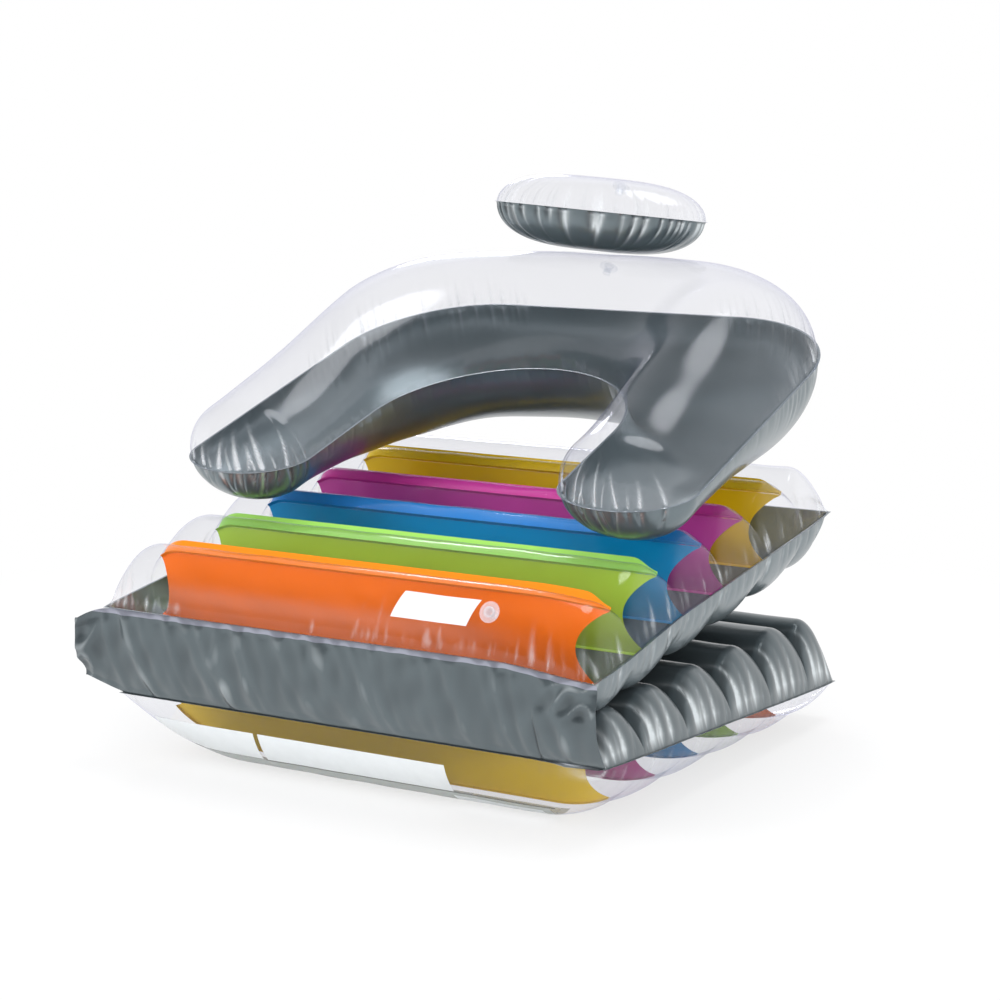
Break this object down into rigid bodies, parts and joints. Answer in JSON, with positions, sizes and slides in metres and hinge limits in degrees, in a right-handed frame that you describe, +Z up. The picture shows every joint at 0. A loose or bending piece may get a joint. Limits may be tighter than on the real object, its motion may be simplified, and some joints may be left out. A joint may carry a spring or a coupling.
{
  "type": "inflatable pool lounger",
  "caption": "Inflatable pool lounger folded into a seat: ribbed air mattresses joined by a strip of film, with a U-shaped backrest tube and a pillow on its crown.",
  "frame": {"origin": "middle of the lounger's box, on the floor that the leg section lies on", "axes": "+Z up, +Y to the rear, from the front strip towards the crown of the backrest, +X to the right as seen from the front"},
  "size_m": [0.9596, 0.9616, 0.9522],
  "materials": {
    "clear_film": "clear glossy vinyl film",
    "silver_film": "silver metallic vinyl film",
    "orange_rib": "opaque orange vinyl film",
    "green_rib": "opaque lime green vinyl film",
    "blue_rib": "opaque blue vinyl film",
    "magenta_rib": "opaque magenta vinyl film",
    "yellow_rib": "opaque yellow vinyl film",
    "valve_vinyl": "clear soft vinyl moulding"
  },
  "bodies": {
    "seat": {"seat_clear_sheet": "clear_film", "seat_silver_sheet": "silver_film", "seat_rib_1_orange": "orange_rib", "seat_rib_2_green": "green_rib", "seat_rib_3_blue": "blue_rib", "seat_rib_4_magenta": "magenta_rib", "seat_rib_5_yellow": "yellow_rib", "seat_valve_body": "valve_vinyl", "arm_patch_left": "clear_film", "arm_patch_right": "clear_film"},
    "hinge_strip": {"hinge_strip": "silver_film"},
    "leg": {"leg_clear_sheet": "clear_film", "leg_silver_sheet": "silver_film", "leg_rib_1_yellow": "yellow_rib", "leg_rib_2_magenta": "magenta_rib", "leg_rib_3_blue": "blue_rib", "leg_rib_4_green": "green_rib", "leg_rib_5_orange": "orange_rib", "leg_valve_body": "valve_vinyl"},
    "backrest": {"backrest_clear_sheet": "clear_film", "backrest_silver_sheet": "silver_film", "backrest_valve_body": "valve_vinyl", "headrest_web": "clear_film"},
    "headrest": {"headrest_clear_sheet": "clear_film", "headrest_silver_sheet": "silver_film", "headrest_valve_body": "valve_vinyl"},
    "seat_stopper": {"seat_valve_stopper": "valve_vinyl"},
    "leg_stopper": {"leg_valve_stopper": "valve_vinyl"},
    "backrest_stopper": {"backrest_valve_stopper": "valve_vinyl"},
    "headrest_stopper": {"headrest_valve_stopper": "valve_vinyl"}
  },
  "joints": [
    {"name": "strip_fold", "type": "hinge", "parent": "seat", "child": "hinge_strip", "pos_m": [0, -0.47679, 0.2684], "axis": [-1, 0, 0], "range_deg": [0, 95.6]},
    {"name": "leg_fold", "type": "hinge", "parent": "hinge_strip", "child": "leg", "pos_m": [0, -0.44129, 0.115], "axis": [-1, 0, 0], "range_deg": [0, 77]},
    {"name": "backrest_tilt", "type": "hinge", "parent": "seat", "child": "backrest", "pos_m": [0, -0.18863, 0.49617], "axis": [1, 0, 0], "range_deg": [0, 60]},
    {"name": "headrest_tilt", "type": "hinge", "parent": "backrest", "child": "headrest", "pos_m": [0, 0.35158, 0.81714], "axis": [1, 0, 0], "range_deg": [-12, 12]},
    {"name": "seat_stopper_pull", "type": "slide", "parent": "seat", "child": "seat_stopper", "axis": [0, -0.8961, 0.4438], "range_m": [0, 0.012]},
    {"name": "leg_stopper_pull", "type": "slide", "parent": "leg", "child": "leg_stopper", "axis": [0, 0.8208, -0.5713], "range_m": [0, 0.012]},
    {"name": "backrest_stopper_pull", "type": "slide", "parent": "backrest", "child": "backrest_stopper", "axis": [0, 0.6231, 0.7822], "range_m": [0, 0.012]},
    {"name": "headrest_stopper_pull", "type": "slide", "parent": "headrest", "child": "headrest_stopper", "axis": [0.0454, 0.6682, 0.7426], "range_m": [0, 0.012]}
  ]
}
